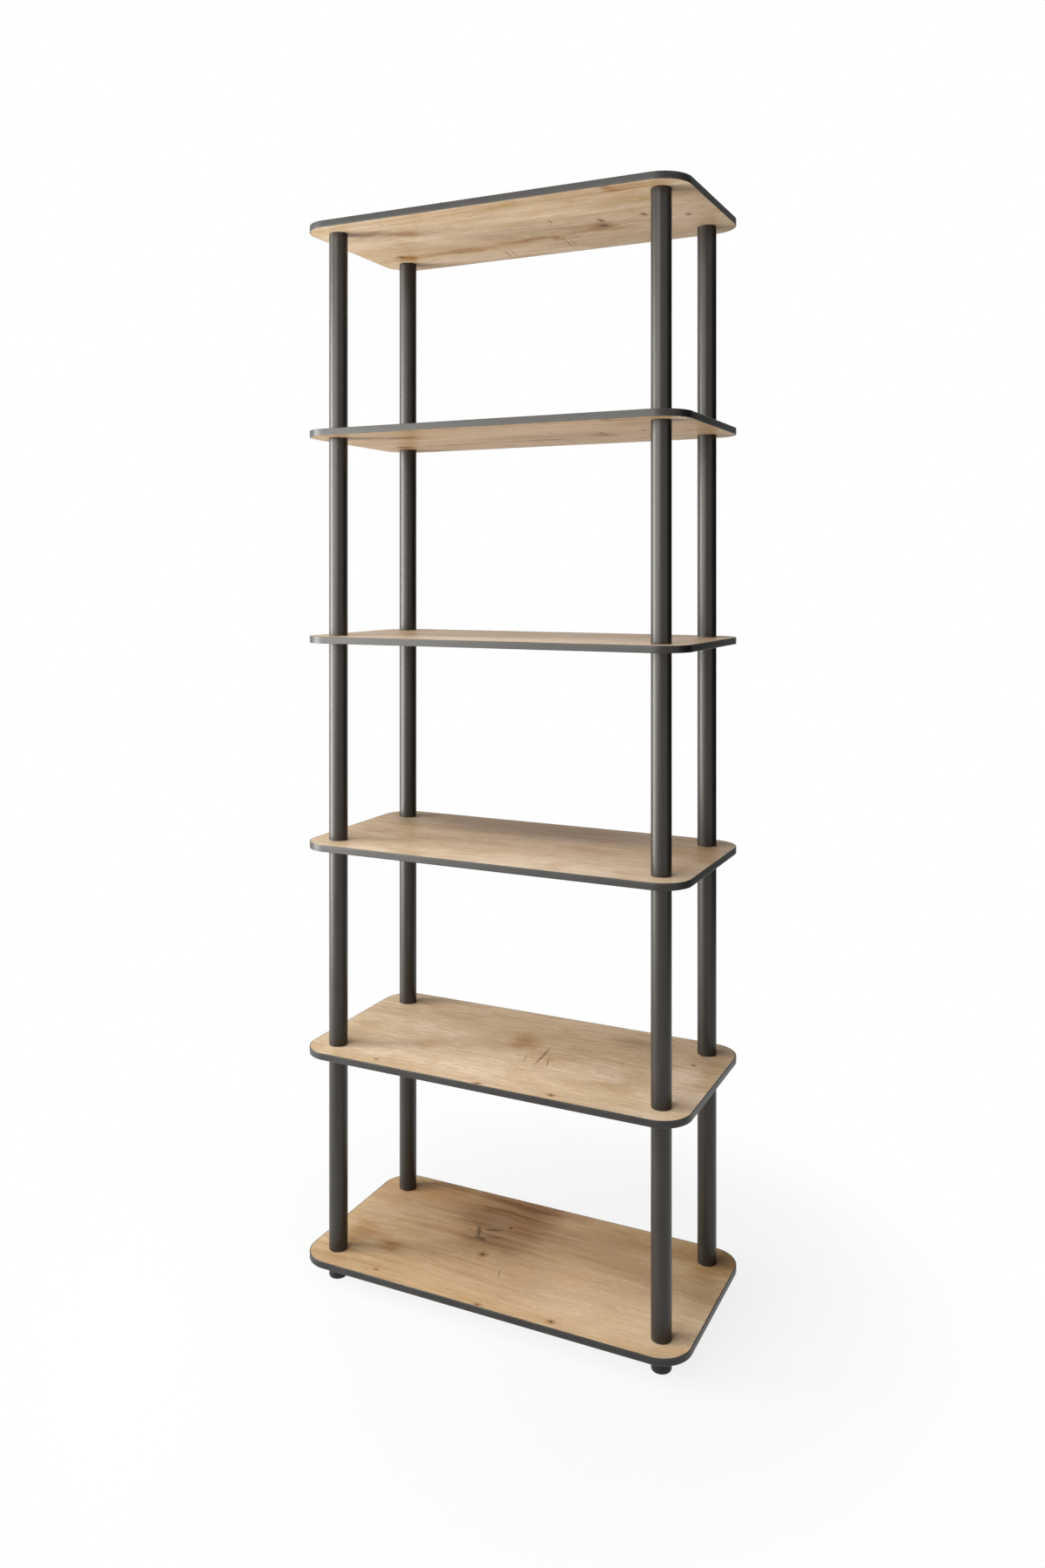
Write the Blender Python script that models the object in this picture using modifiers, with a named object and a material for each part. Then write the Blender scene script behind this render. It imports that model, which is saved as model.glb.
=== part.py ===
"""Bookcase of rounded boards carried on short round tubes.

Each level is a board with a band wrapped round its edge. Four tubes stand on the board and carry the
next one. In every board hole a plastic connector plugs into the tube below and the tube above. Feet plug
in under the lowest board, and plugs close the holes in the highest one.
Metres, +Z up, front towards -Y, origin on the floor under the middle of the boards.
"""
import math

import bmesh
import bpy

# Shelves
SHELF_COUNT = 6
SHELF_WIDTH = 0.600
SHELF_DEPTH = 0.290
BOARD_THICKNESS = 0.010
CORNER_RADIUS = 0.043
BAND_THICKNESS = 0.001
BAND_SEAM = 0.0004

# Posts: the inset runs from the shelf's edges to the post's axis
POST_INSET = 0.043
TUBE_LENGTH = 0.298
TUBE_DIAMETER = 0.028
TUBE_WALL = 0.002

# Connectors: the collar stands on this share of the tube's wall, and the spigots taper by the draft
SPIGOT_LENGTH = 0.030
SPIGOT_WALL = 0.003
SPIGOT_DRAFT = 0.0005
COLLAR_SHARE = 0.35

# Feet and top plugs: the lip is how far a plug's head reaches past the tube's outside
FOOT_HEIGHT = 0.030
FOOT_FLOOR = 0.006
FOOT_EDGE_RADIUS = 0.0025
PLUG_HEAD_HEIGHT = 0.004
PLUG_HEAD_CROWN = 0.0006
PLUG_HEAD_LIP = 0.001
PLUG_EDGE_RADIUS = 0.002

# Clearances
SEAT_GAP = 0.0003
FIT_GAP = 0.0003
GLUE_GAP = 0.0003

# Fineness of the round shapes
ROUND_SIDES = 20
CORNER_STEPS = 8
EDGE_STEPS = 3
WELD_DISTANCE = 0.00001
SHARP_ANGLE = math.radians(35)

# Sizes that follow
TUBE_RADIUS = TUBE_DIAMETER / 2
BORE_RADIUS = TUBE_RADIUS - TUBE_WALL
SPIGOT_RADIUS = BORE_RADIUS - FIT_GAP
SPIGOT_END_RADIUS = SPIGOT_RADIUS - SPIGOT_DRAFT
HOLLOW_RADIUS = SPIGOT_END_RADIUS - SPIGOT_WALL
COLLAR_RADIUS = BORE_RADIUS + COLLAR_SHARE * TUBE_WALL
HOLE_RADIUS = COLLAR_RADIUS + FIT_GAP
HEAD_RADIUS = TUBE_RADIUS + PLUG_HEAD_LIP
COLLAR_HALF = BOARD_THICKNESS / 2
SPIGOT_REACH = COLLAR_HALF + SEAT_GAP + SPIGOT_LENGTH
LEVEL_PITCH = BOARD_THICKNESS + TUBE_LENGTH + 2 * SEAT_GAP
FIRST_BOARD_MIDDLE = FOOT_HEIGHT + SEAT_GAP + BOARD_THICKNESS / 2

# Which way each post lies from the middle of the shelf
POSTS = {
    "front_left": (-1, -1),
    "front_right": (1, -1),
    "back_left": (-1, 1),
    "back_right": (1, 1),
}


def clear_scene():
    """Start from an empty scene."""
    for item in list(bpy.data.objects):
        bpy.data.objects.remove(item, do_unlink=True)


def make_finish(name, colour, roughness, metallic):
    """A plain Principled finish."""
    material = bpy.data.materials.new(name)
    material.use_nodes = True
    shader = material.node_tree.nodes["Principled BSDF"]
    shader.inputs["Base Color"].default_value = (*colour, 1.0)
    shader.inputs["Roughness"].default_value = roughness
    shader.inputs["Metallic"].default_value = metallic
    material.diffuse_color = (*colour, 1.0)
    return material


def arc(centre_x, centre_y, radius, start, end, steps):
    """Points on an arc between two angles in degrees, both ends included."""
    points = []
    for step in range(steps + 1):
        angle = math.radians(start + (end - start) * step / steps)
        points.append((centre_x + radius * math.cos(angle), centre_y + radius * math.sin(angle)))
    return points


def circle(centre_x, centre_y, radius):
    """A closed round loop."""
    return arc(centre_x, centre_y, radius, 0, 360, ROUND_SIDES)[:-1]


def shelf_outline(inset):
    """The shelf's rounded rectangle, this far inside its outer edge, from the back left corner round."""
    corner_x = SHELF_WIDTH / 2 - CORNER_RADIUS
    corner_y = SHELF_DEPTH / 2 - CORNER_RADIUS
    points = []
    for side_x, side_y, start in ((-1, 1, 90), (-1, -1, 180), (1, -1, 270), (1, 1, 360)):
        centre = (side_x * corner_x, side_y * corner_y)
        points += arc(*centre, CORNER_RADIUS - inset, start, start + 90, CORNER_STEPS)
    return points


def post_axis(side_x, side_y):
    """Where a post's axis crosses the shelf."""
    return side_x * (SHELF_WIDTH / 2 - POST_INSET), side_y * (SHELF_DEPTH / 2 - POST_INSET)


def finished_mesh(holder, material):
    """The holder's finished shape as one welded mesh, with round faces smooth. The holder is removed."""
    depsgraph = bpy.context.evaluated_depsgraph_get()
    mesh = bpy.data.meshes.new_from_object(holder.evaluated_get(depsgraph))
    mesh.name = holder.name
    bpy.data.objects.remove(holder, do_unlink=True)
    shape = bmesh.new()
    shape.from_mesh(mesh)
    bmesh.ops.remove_doubles(shape, verts=shape.verts, dist=WELD_DISTANCE)
    shape.to_mesh(mesh)
    shape.free()
    mesh.shade_smooth()
    mesh.set_sharp_from_angle(angle=SHARP_ANGLE)
    mesh.materials.clear()
    mesh.materials.append(material)
    return mesh


def extruded_mesh(name, loops, height, material):
    """A flat outline, its first loop the edge and the others holes, extruded about its middle plane."""
    curve = bpy.data.curves.new(name, "CURVE")
    curve.dimensions = "2D"
    curve.fill_mode = "BOTH"
    curve.extrude = height / 2
    for loop in loops:
        spline = curve.splines.new("POLY")
        spline.points.add(len(loop) - 1)
        for point, (x, y) in zip(spline.points, loop):
            point.co = (x, y, 0.0, 1.0)
        spline.use_cyclic_u = True
    holder = bpy.data.objects.new(name, curve)
    bpy.context.scene.collection.objects.link(holder)
    return finished_mesh(holder, material)


def turned_mesh(name, profile, closed, material):
    """A turned piece. Its profile of radius and height runs from the top down the outer side."""
    outline = bpy.data.meshes.new(name + "_profile")
    edges = [(index, index + 1) for index in range(len(profile) - 1)]
    if closed:
        edges.append((len(profile) - 1, 0))
    outline.from_pydata([(radius, 0.0, height) for radius, height in profile], edges, [])
    holder = bpy.data.objects.new(name, outline)
    bpy.context.scene.collection.objects.link(holder)
    screw = holder.modifiers.new("Turn", "SCREW")
    screw.axis = "Z"
    screw.steps = ROUND_SIDES
    screw.render_steps = ROUND_SIDES
    screw.use_merge_vertices = True
    screw.merge_threshold = WELD_DISTANCE
    return finished_mesh(holder, material)


def board_mesh(material):
    """A shelf board with a hole for each post."""
    loops = [shelf_outline(BAND_THICKNESS + GLUE_GAP)]
    for side_x, side_y in POSTS.values():
        loops.append(circle(*post_axis(side_x, side_y), HOLE_RADIUS))
    return extruded_mesh("shelf_board", loops, BOARD_THICKNESS, material)


def band_mesh(material):
    """One strip wrapped round a board, with its butt seam in the middle of the back edge."""
    outer_y = SHELF_DEPTH / 2
    inner_y = outer_y - BAND_THICKNESS
    seam_x = BAND_SEAM / 2
    outer = [(-seam_x, outer_y)] + shelf_outline(0.0) + [(seam_x, outer_y)]
    inner = [(-seam_x, inner_y)] + shelf_outline(BAND_THICKNESS) + [(seam_x, inner_y)]
    return extruded_mesh("edge_band", [outer + inner[::-1]], BOARD_THICKNESS, material)


def tube_mesh(material):
    """A plain round tube."""
    loops = [circle(0.0, 0.0, TUBE_RADIUS), circle(0.0, 0.0, BORE_RADIUS)]
    return extruded_mesh("tube", loops, TUBE_LENGTH, material)


def connector_mesh(material):
    """A hollow connector: a collar in the board's hole and a tapered spigot on each side of it."""
    profile = [
        (HOLLOW_RADIUS, SPIGOT_REACH),
        (SPIGOT_END_RADIUS, SPIGOT_REACH),
        (SPIGOT_RADIUS, COLLAR_HALF),
        (COLLAR_RADIUS, COLLAR_HALF),
        (COLLAR_RADIUS, -COLLAR_HALF),
        (SPIGOT_RADIUS, -COLLAR_HALF),
        (SPIGOT_END_RADIUS, -SPIGOT_REACH),
        (HOLLOW_RADIUS, -SPIGOT_REACH),
    ]
    return turned_mesh("connector", profile, True, material)


def foot_mesh(material):
    """A foot as wide as the tube. Its collar and hollow spigot reach up through the lowest board."""
    top = -COLLAR_HALF - SEAT_GAP
    bottom = top - FOOT_HEIGHT
    profile = [
        (0.0, bottom + FOOT_FLOOR),
        (HOLLOW_RADIUS, bottom + FOOT_FLOOR),
        (HOLLOW_RADIUS, SPIGOT_REACH),
        (SPIGOT_END_RADIUS, SPIGOT_REACH),
        (SPIGOT_RADIUS, COLLAR_HALF),
        (COLLAR_RADIUS, COLLAR_HALF),
        (COLLAR_RADIUS, top),
        (TUBE_RADIUS, top),
    ]
    edge_centre = (TUBE_RADIUS - FOOT_EDGE_RADIUS, bottom + FOOT_EDGE_RADIUS)
    profile += arc(*edge_centre, FOOT_EDGE_RADIUS, 0, -90, EDGE_STEPS)
    profile.append((0.0, bottom))
    return turned_mesh("foot", profile, False, material)


def top_plug_mesh(material):
    """A plug with a low round head on the highest board and a hollow spigot down into the highest tube."""
    seat = COLLAR_HALF + SEAT_GAP
    crown = seat + PLUG_HEAD_HEIGHT
    rim = crown - PLUG_HEAD_CROWN
    edge_centre = (HEAD_RADIUS - PLUG_EDGE_RADIUS, rim - PLUG_EDGE_RADIUS)
    profile = [(0.0, crown)]
    profile += arc(*edge_centre, PLUG_EDGE_RADIUS, 90, 0, EDGE_STEPS)
    profile += [
        (HEAD_RADIUS, seat),
        (COLLAR_RADIUS, seat),
        (COLLAR_RADIUS, -COLLAR_HALF),
        (SPIGOT_RADIUS, -COLLAR_HALF),
        (SPIGOT_END_RADIUS, -SPIGOT_REACH),
        (HOLLOW_RADIUS, -SPIGOT_REACH),
        (HOLLOW_RADIUS, -COLLAR_HALF),
        (0.0, -COLLAR_HALF),
    ]
    return turned_mesh("top_plug", profile, False, material)


def build_bookcase():
    """Stack the levels from the floor up."""
    oak_decor = make_finish("light_oak_decor", colour=(0.55, 0.38, 0.23), roughness=0.55, metallic=0.0)
    dark_edging = make_finish("dark_grey_edging", colour=(0.055, 0.053, 0.052), roughness=0.5, metallic=0.0)
    dark_paint = make_finish("dark_grey_tube_paint", colour=(0.045, 0.043, 0.042), roughness=0.42, metallic=0.3)
    pale_plastic = make_finish("pale_plastic", colour=(0.60, 0.59, 0.55), roughness=0.45, metallic=0.0)
    black_plastic = make_finish("black_plastic", colour=(0.018, 0.017, 0.017), roughness=0.5, metallic=0.0)

    collection = bpy.data.collections.new("bookcase")
    bpy.context.scene.collection.children.link(collection)
    floor_point = bpy.data.objects.new("bookcase_floor_point", None)
    collection.objects.link(floor_point)

    def place(name, mesh, x, y, z):
        piece = bpy.data.objects.new(name, mesh)
        collection.objects.link(piece)
        piece.parent = floor_point
        piece.location = (x, y, z)

    board = board_mesh(oak_decor)
    band = band_mesh(dark_edging)
    tube = tube_mesh(dark_paint)
    connector = connector_mesh(pale_plastic)
    foot = foot_mesh(black_plastic)
    top_plug = top_plug_mesh(black_plastic)

    for level in range(1, SHELF_COUNT + 1):
        middle = FIRST_BOARD_MIDDLE + (level - 1) * LEVEL_PITCH
        place(f"shelf_board_{level}", board, 0.0, 0.0, middle)
        place(f"edge_band_{level}", band, 0.0, 0.0, middle)
        for post, (side_x, side_y) in POSTS.items():
            x, y = post_axis(side_x, side_y)
            if level == 1:
                place(f"foot_{post}", foot, x, y, middle)
            elif level < SHELF_COUNT:
                place(f"connector_{level}_{post}", connector, x, y, middle)
            else:
                place(f"top_plug_{post}", top_plug, x, y, middle)
            if level < SHELF_COUNT:
                place(f"tube_{level}_{post}", tube, x, y, middle + LEVEL_PITCH / 2)


clear_scene()
build_bookcase()
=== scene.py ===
import math

import bmesh
import bpy
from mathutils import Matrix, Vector


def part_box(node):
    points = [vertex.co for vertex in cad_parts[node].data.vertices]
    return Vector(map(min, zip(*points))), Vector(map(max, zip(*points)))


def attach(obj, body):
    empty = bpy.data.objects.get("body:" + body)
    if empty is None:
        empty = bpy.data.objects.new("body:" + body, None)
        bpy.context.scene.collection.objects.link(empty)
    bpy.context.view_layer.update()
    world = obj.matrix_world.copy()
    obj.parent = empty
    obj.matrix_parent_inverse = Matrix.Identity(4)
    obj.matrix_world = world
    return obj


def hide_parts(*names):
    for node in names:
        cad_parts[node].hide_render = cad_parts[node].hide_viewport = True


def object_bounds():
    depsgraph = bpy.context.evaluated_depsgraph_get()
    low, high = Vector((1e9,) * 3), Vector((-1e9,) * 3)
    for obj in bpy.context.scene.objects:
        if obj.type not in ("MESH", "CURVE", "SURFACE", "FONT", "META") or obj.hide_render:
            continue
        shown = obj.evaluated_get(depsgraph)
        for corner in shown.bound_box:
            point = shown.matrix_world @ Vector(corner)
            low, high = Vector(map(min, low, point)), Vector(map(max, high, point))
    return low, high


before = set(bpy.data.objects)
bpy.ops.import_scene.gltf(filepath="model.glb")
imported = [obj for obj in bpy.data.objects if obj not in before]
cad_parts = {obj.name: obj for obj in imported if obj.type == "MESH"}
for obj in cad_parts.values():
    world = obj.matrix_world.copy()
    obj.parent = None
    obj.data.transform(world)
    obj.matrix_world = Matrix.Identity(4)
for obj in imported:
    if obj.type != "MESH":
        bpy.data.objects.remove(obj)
cad_low, cad_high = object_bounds()


# Feet: short black plastic mouldings, as wide as the posts, with a softly rounded lower edge.
# Each has a collar and a hollow spigot that reach up through the lowest board into the lowest tube,
# and it is held by friction alone.
POSTS = ("front_left", "front_right", "back_left", "back_right")
FOOT_FLOOR = 0.006
FOOT_LOWER_EASE = 0.0025
FOOT_UPPER_EASE = 0.0005
COLLAR_RADIUS = 0.0127
SPIGOT_RADIUS = 0.0117
SPIGOT_END_RADIUS = 0.0112
SPIGOT_HOLLOW = 0.0082
ON_AXIS = 0.0
FOOT_BLACK = (0.008, 0.0078, 0.0075)
FOOT_GREY = (0.016, 0.0156, 0.0152)
FOOT_ROUGHNESS = 0.48

# How finely round shapes are made. A narrow flat beside each eased corner keeps the wide faces evenly shaded,
# and eased corners are marked as worn.
TURNED_SIDES = 96
EASE_STEPS = 5
GUARD_SHARE = 0.4
GUARD_REACH = 0.002
SMOOTH_ANGLE = math.radians(30)
SHARP = 0.0
UNWORN = 0.0
WORN = 1.0
WEAR_NAME = "edge_wear"

# Moulded plastic. Here and below a noise has its grains a metre in each direction and its detail, a range has
# two levels of a noise and what they give, and a relief has its strength and its depth in metres.
PLASTIC_SPECULAR = 0.3
PLASTIC_PATCHES = ((60.0, 60.0, 60.0), 3.0)
PLASTIC_STIPPLE = ((2600.0, 2600.0, 2600.0), 2.0)
PLASTIC_RUBBING = (0.4, 0.7, 0.1, 0.7)
PLASTIC_DUST = (0.45, 0.8, 0.0, 0.6)
PLASTIC_UNEVEN = 0.16
PLASTIC_POLISH = -0.1
PLASTIC_RELIEF = (0.35, 0.00006)
NOISE_ROUGHNESS = 0.5

# Sockets of the mix node that have no name of their own
MIX_SHARE = 0
FIRST_COLOUR = 6
SECOND_COLOUR = 7
MIXED_COLOUR = 2


def eased(corners):
    """Round the corners (across, up, easing) of a profile. Gives points (across, up, wear)."""
    points = []
    for index, (across, up, easing) in enumerate(corners):
        if easing == SHARP:
            points.append((across, up, UNWORN))
            continue
        here = Vector((across, up))
        back = Vector(corners[index - 1][:2]) - here
        ahead = Vector(corners[(index + 1) % len(corners)][:2]) - here
        to_back = back.normalized()
        to_ahead = ahead.normalized()
        half = back.angle(ahead) / 2
        reach = easing / math.tan(half)
        centre = here + (to_back + to_ahead).normalized() * easing / math.sin(half)
        start = here + to_back * reach - centre
        end = here + to_ahead * reach - centre
        first = math.atan2(start.y, start.x)
        turn = math.remainder(math.atan2(end.y, end.x) - first, math.tau)
        back_guard = reach + min(GUARD_REACH, GUARD_SHARE * (back.length - reach))
        ahead_guard = reach + min(GUARD_REACH, GUARD_SHARE * (ahead.length - reach))
        points.append((*(here + to_back * back_guard), UNWORN))
        for step in range(EASE_STEPS + 1):
            angle = first + turn * step / EASE_STEPS
            arc_across = centre.x + easing * math.cos(angle)
            arc_up = centre.y + easing * math.sin(angle)
            points.append((arc_across, arc_up, WORN))
        points.append((*(here + to_ahead * ahead_guard), UNWORN))
    return points


def finished_piece(name, shape, finish):
    """Turn a bmesh in frame coordinates into an object with one finish, smooth where it is round."""
    bmesh.ops.recalc_face_normals(shape, faces=shape.faces)
    mesh = bpy.data.meshes.new(name)
    shape.to_mesh(mesh)
    shape.free()
    mesh.shade_smooth()
    mesh.set_sharp_from_angle(angle=SMOOTH_ANGLE)
    mesh.materials.append(finish)
    piece = bpy.data.objects.new(name, mesh)
    bpy.context.scene.collection.objects.link(piece)
    return piece


def turned_piece(name, profile, centre, finish):
    """Spin a profile of points (radius, height, wear) about a post's axis."""
    shape = bmesh.new()
    wear_layer = shape.verts.layers.float.new(WEAR_NAME)
    rings = []
    for radius, height, wear in profile:
        ring = []
        for side in range(TURNED_SIDES if radius > ON_AXIS else 1):
            angle = math.tau * side / TURNED_SIDES
            x = centre[0] + radius * math.cos(angle)
            y = centre[1] + radius * math.sin(angle)
            point = shape.verts.new((x, y, height))
            point[wear_layer] = wear
            ring.append(point)
        rings.append(ring)
    for upper, lower in zip(rings, rings[1:]):
        for side in range(TURNED_SIDES):
            after = (side + 1) % TURNED_SIDES
            corners = [upper[side % len(upper)], lower[side % len(lower)]]
            if len(lower) > 1:
                corners.append(lower[after])
            if len(upper) > 1:
                corners.append(upper[after])
            shape.faces.new(corners)
    return finished_piece(name, shape, finish)


def new_finish(name, specular):
    """A material with its node tree and its shader, ready for more nodes."""
    material = bpy.data.materials.new(name)
    material.use_nodes = True
    shader = material.node_tree.nodes["Principled BSDF"]
    shader.inputs["Specular IOR Level"].default_value = specular
    return material, material.node_tree, shader


def add(tree, kind, inputs=None, output=0, **settings):
    """Add a node. An input that is a socket is linked and any other value is set. Gives one output."""
    node = tree.nodes.new(kind)
    for key, value in settings.items():
        setattr(node, key, value)
    for key, value in (inputs or {}).items():
        if isinstance(value, bpy.types.NodeSocket):
            tree.links.new(value, node.inputs[key])
        else:
            node.inputs[key].default_value = value
    return node.outputs[output]


def calc(tree, operation, *values):
    """Arithmetic on numbers or sockets."""
    return add(tree, "ShaderNodeMath", dict(enumerate(values)), operation=operation)


def place_calc(tree, operation, first, second):
    """Arithmetic on places or directions."""
    return add(tree, "ShaderNodeVectorMath", {0: first, 1: second}, operation=operation)


def frame_place(tree):
    """The place on the surface, in the frame's metres."""
    return add(tree, "ShaderNodeTexCoord", output="Object")


def edge_wear(tree):
    """One along the eased corners of a shape and none beside them."""
    return add(tree, "ShaderNodeAttribute", output="Fac", attribute_name=WEAR_NAME)


def stretched_noise(tree, place, scale, detail, roughness=NOISE_ROUGHNESS, output="Fac"):
    """Noise whose grain is stretched by a scale for each direction, in grains a metre."""
    scaled = place_calc(tree, "MULTIPLY", place, scale)
    inputs = {"Vector": scaled, "Scale": 1.0, "Detail": detail, "Roughness": roughness}
    return add(tree, "ShaderNodeTexNoise", inputs, output=output)


def ranged(tree, value, low, high, to_low, to_high):
    """Map a value smoothly from one range to another, held at the ends."""
    inputs = {"Value": value, "From Min": low, "From Max": high, "To Min": to_low, "To Max": to_high}
    return add(tree, "ShaderNodeMapRange", inputs, interpolation_type="SMOOTHSTEP")


def mixed(tree, share, first, second, blend="MIX"):
    """Mix two colours by a share."""
    inputs = {MIX_SHARE: share, FIRST_COLOUR: first, SECOND_COLOUR: second}
    return add(tree, "ShaderNodeMix", inputs, output=MIXED_COLOUR, data_type="RGBA", blend_type=blend)


def opaque(colour):
    """A colour with full alpha."""
    return (*colour, 1.0)


def embossed(tree, shader, height, strength, depth):
    """Give the surface a fine relief."""
    inputs = {"Strength": strength, "Distance": depth, "Height": height}
    bump = add(tree, "ShaderNodeBump", inputs, output="Normal")
    tree.links.new(bump, shader.inputs["Normal"])


def moulded_plastic(name, dark, light, roughness):
    """Spark-eroded moulded plastic: a fine even stipple, a few dusty patches and rubbed edges."""
    finish, tree, shader = new_finish(name, PLASTIC_SPECULAR)
    place = frame_place(tree)
    patches = stretched_noise(tree, place, *PLASTIC_PATCHES)
    stipple = stretched_noise(tree, place, *PLASTIC_STIPPLE)
    rubbed = calc(tree, "MULTIPLY", edge_wear(tree), ranged(tree, patches, *PLASTIC_RUBBING))
    tone = calc(tree, "MAXIMUM", ranged(tree, patches, *PLASTIC_DUST), rubbed)
    tree.links.new(mixed(tree, tone, opaque(dark), opaque(light)), shader.inputs["Base Color"])
    dull = calc(tree, "MULTIPLY_ADD", patches, PLASTIC_UNEVEN, roughness - PLASTIC_UNEVEN / 2)
    dull = calc(tree, "MULTIPLY_ADD", rubbed, PLASTIC_POLISH, dull)
    tree.links.new(dull, shader.inputs["Roughness"])
    embossed(tree, shader, stipple, *PLASTIC_RELIEF)
    return finish


black_plastic = moulded_plastic("black_moulded_plastic", FOOT_BLACK, FOOT_GREY, FOOT_ROUGHNESS)
lowest_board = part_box("shelf_board_1")
seat_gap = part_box("tube_1_front_left")[0].z - lowest_board[1].z
post_places = {}
for post in POSTS:
    node = "foot_" + post
    low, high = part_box(node)
    middle = (low + high) / 2
    post_places[post] = (middle.x, middle.y)
    foot_radius = (high.x - low.x) / 2
    foot_top = lowest_board[0].z - seat_gap
    foot_profile = eased([
        (ON_AXIS, low.z + FOOT_FLOOR, SHARP),
        (SPIGOT_HOLLOW, low.z + FOOT_FLOOR, SHARP),
        (SPIGOT_HOLLOW, high.z, SHARP),
        (SPIGOT_END_RADIUS, high.z, SHARP),
        (SPIGOT_RADIUS, lowest_board[1].z, SHARP),
        (COLLAR_RADIUS, lowest_board[1].z, SHARP),
        (COLLAR_RADIUS, foot_top, SHARP),
        (foot_radius, foot_top, FOOT_UPPER_EASE),
        (foot_radius, low.z, FOOT_LOWER_EASE),
        (ON_AXIS, low.z, SHARP),
    ])
    foot = turned_piece("plastic_" + node, foot_profile, post_places[post], black_plastic)
    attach(foot, "root")
    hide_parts(node)


# Shelf boards: thin pressed boards with a printed and varnished oak face on both sides, the grain running
# along the width. Each is cut with rounded corners and drilled with four holes, and its arrises are eased.
# The print repeats small knots near the front edge, and single boards have more knots, cracks and stain
# marks. Some of these marks are painted shade and painted light.
MILLIMETRE = 0.001
CORNER_RADIUS = 0.043
CORNER_STEPS = 24
QUARTER_TURN = 90
BAND_AND_GLUE = 0.0013
HOLE_RADIUS = 0.0130
HOLE_SIDES = 64
BOARD_EASE = 0.0002

# Corners of a shelf in turn: the side in x, the side in y, and the degrees at which its arc starts
SHELF_CORNERS = ((-1, 1, 90), (-1, -1, 180), (1, -1, 270), (1, 1, 360))

# Colours of the print. Tints darken or lighten what is under them, and a grey-brown tone covers it. Some of
# them are painted shade and painted light on single boards.
OAK_PALE = (0.836, 0.676, 0.492)
OAK_HONEY = (0.708, 0.532, 0.328)
OAK_BROWN = (0.444, 0.294, 0.166)
OAK_WARM = (0.576, 0.368, 0.182)
OAK_PORE = (0.342, 0.226, 0.132)
OAK_FLECK = (0.818, 0.680, 0.510)
KNOT_HALO = (0.325, 0.160, 0.062)
KNOT_HEART = (0.105, 0.050, 0.022)
CRACK_DARK = (0.120, 0.070, 0.036)
STAIN_AND_LIGHT_TINTS = {
    "amber": (0.78, 0.65, 0.45),
    "rust": (0.58, 0.30, 0.07),
    "brown": (0.27, 0.135, 0.04),
    "pale": (1.36, 1.47, 1.66),
    "grey": (0.56, 0.57, 0.61),
}
SMOKE_AND_SHADE_GREY = (0.290, 0.196, 0.116)

# Noises of the print: grains a metre along and across the board, detail and roughness. They are stretched
# so much in height that every face has its own. Those of the grain bend with the waves and round the knots.
SEED_STRETCH = 310.0
STRAIGHT_NOISES = {
    "slow_wave": (4.5, 11.0, 2.0, 0.5),
    "quick_wave": (24.0, 60.0, 2.0, 0.5),
    "clouds": (7.0, 15.0, 3.0, 0.5),
}
GRAIN_NOISES = {
    "patches": (13.0, 26.0, 4.0, 0.5),
    "broad": (2.2, 24.0, 3.0, 0.5),
    "rings": (4.0, 95.0, 3.0, 0.6),
    "lines": (10.0, 240.0, 4.0, 0.7),
    "fibres": (45.0, 1500.0, 2.0, 0.5),
    "pores": (90.0, 1300.0, 1.0, 0.5),
    "mottle": (48.0, 230.0, 3.0, 0.6),
    "flecks": (70.0, 480.0, 1.0, 0.5),
}
SLOW_WAVE_REACH = 0.030
QUICK_WAVE_REACH = 0.0040
GRAIN_PULL = 0.55

# Tone of the ground from streaks, rings and clouds, with a shift for each board, and the layers over it
BROAD_SHARE = 0.5
RING_SHARE = 0.3
CLOUD_SHARE = 0.35
BROWN_SHIFT = {1: 0.17, 2: -0.04, 3: -0.03, 4: -0.05, 5: 0.22, 6: -0.03}
HONEY_RANGE = (0.44, 0.66, 0.0, 1.0)
BROWN_RANGE = (0.60, 0.92, 0.0, 0.9)
OAK_LAYERS = (
    ("patches", (0.48, 0.72, 0.0, 0.66), OAK_WARM),
    ("lines", (0.42, 0.70, 0.0, 0.48), OAK_BROWN),
    ("mottle", (0.40, 0.68, 0.0, 0.46), OAK_WARM),
    ("fibres", (0.42, 0.70, 0.0, 0.28), OAK_BROWN),
    ("flecks", (0.56, 0.72, 0.0, 0.22), OAK_FLECK),
)
PORE_DASHES = (0.60, 0.70, 0.0, 0.60)
PORES_IN_RINGS = (0.42, 0.60, 0.2, 1.0)
SOAKED_RINGS = (0.32, 0.66, 0.70, 1.10)

# Ragged outlines of the marks, and how they fade between two distances in units of their half sizes
FACE_ONLY = (1.0, 1.0, 0.0)
EDGE_SHAKE = (110.0, 170.0, SEED_STRETCH)
STAIN_AND_LIGHT_SHAKE = (22.0, 36.0, SEED_STRETCH)
SHAKE_DETAIL = 4.0
SHAKE_ROUGHNESS = 0.68
SHAKE_MIDDLE = (0.5, 0.5, 0.5)
RAGGED_EDGE = 0.0045
RAGGED_STAIN_AND_LIGHT = 0.044
HEART_FADE = (0.3, 1.15)
HALO_FADE = (0.5, 2.8)
STAIN_AND_LIGHT_FADE = (0.1, 1.25)
CRACK_FADE = (0.3, 1.0)
HALO_SHARE = 0.70
HEART_SHARE = 0.80

# Varnish over the print
OAK_SPECULAR = 0.05
VARNISH_ROUGHNESS = 0.34
OAK_LINE_DULLING = 0.16
OAK_PORE_DULLING = 0.2
OAK_LINE_HEIGHT = 0.6
OAK_FIBRE_HEIGHT = 0.4
OAK_CRACK_DROP = 1.5
OAK_RELIEF = (0.3, 0.00015)
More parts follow.
